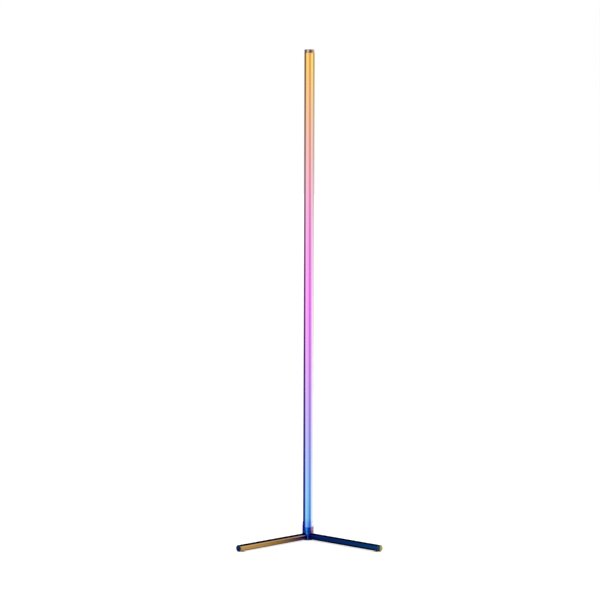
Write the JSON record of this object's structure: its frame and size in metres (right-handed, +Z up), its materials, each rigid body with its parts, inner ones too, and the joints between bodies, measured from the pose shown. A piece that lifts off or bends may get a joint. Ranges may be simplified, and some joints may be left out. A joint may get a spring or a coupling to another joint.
{
  "type": "corner floor lamp",
  "caption": "Slim floor lamp for a room corner: a round pole with a full-length glowing front swivels on a V-shaped base of steel tubes, with a mode button at the back.",
  "frame": {"origin": "on the pole's axis, at the floor, on the underside of the hub's rubber pad", "axes": "+Z up along the pole, -Y to the front, where the light faces and between the legs, +X to the lamp's right as seen from the front"},
  "size_m": [0.4088, 0.2209, 1.4],
  "materials": {
    "tinted_steel": "gloss",
    "tinted_aluminium": "gloss",
    "glowing_diffuser": "satin",
    "bright_steel": "satin",
    "dark_steel": "satin",
    "plain_aluminium": "satin",
    "plated_brass": "polished",
    "black_plastic": "satin",
    "black_rubber": "matte",
    "white_strip": "satin",
    "lamp_chips": "gloss",
    "green_board": "satin",
    "wire_cover": "satin"
  },
  "bodies": {
    "base": {"base_hub": "tinted_steel", "hub_pad": "black_rubber", "thrust_washer": "bright_steel", "swivel_ring": "black_plastic", "leg_studs": "bright_steel", "leg_tube_left": "tinted_steel", "leg_tube_right": "tinted_steel", "leg_insert_left": "bright_steel", "leg_insert_right": "bright_steel", "leg_ballast_left": "bright_steel", "leg_ballast_right": "bright_steel", "leg_cap_left": "tinted_steel", "leg_cap_right": "tinted_steel", "leg_foot_left": "black_rubber", "leg_foot_right": "black_rubber"},
    "pole": {"pole_collar": "tinted_steel", "swivel_bolt": "bright_steel", "collar_screws": "dark_steel", "profile_lower": "tinted_aluminium", "profile_upper": "tinted_aluminium", "diffuser_lower": "glowing_diffuser", "diffuser_upper": "glowing_diffuser", "pole_joiner": "plain_aluminium", "joiner_screws": "dark_steel", "top_cap": "tinted_aluminium", "cap_screw": "dark_steel", "lamp_strip_lower": "white_strip", "lamp_strip_upper": "white_strip", "strip_chips_lower": "lamp_chips", "strip_chips_upper": "lamp_chips", "strip_link": "white_strip", "power_jack": "black_plastic", "jack_pin": "plated_brass", "jack_nut": "bright_steel", "controller_board": "green_board", "board_carrier": "black_plastic", "board_parts": "black_plastic", "tact_switch": "black_plastic", "power_wires": "wire_cover", "strip_leads": "wire_cover"},
    "button": {"mode_button": "black_plastic", "switch_plunger": "black_plastic"}
  },
  "joints": [
    {"name": "pole_swivel", "type": "hinge", "parent": "base", "child": "pole", "pos_m": [0, 0, 0.0258], "axis": [0, 0, 1], "continuous": true},
    {"name": "mode_button_press", "type": "slide", "parent": "pole", "child": "button", "axis": [0, -1, 0], "range_m": [0, 0.0008], "stiffness_N_per_m": 1500, "springref_m": -0.0005}
  ]
}
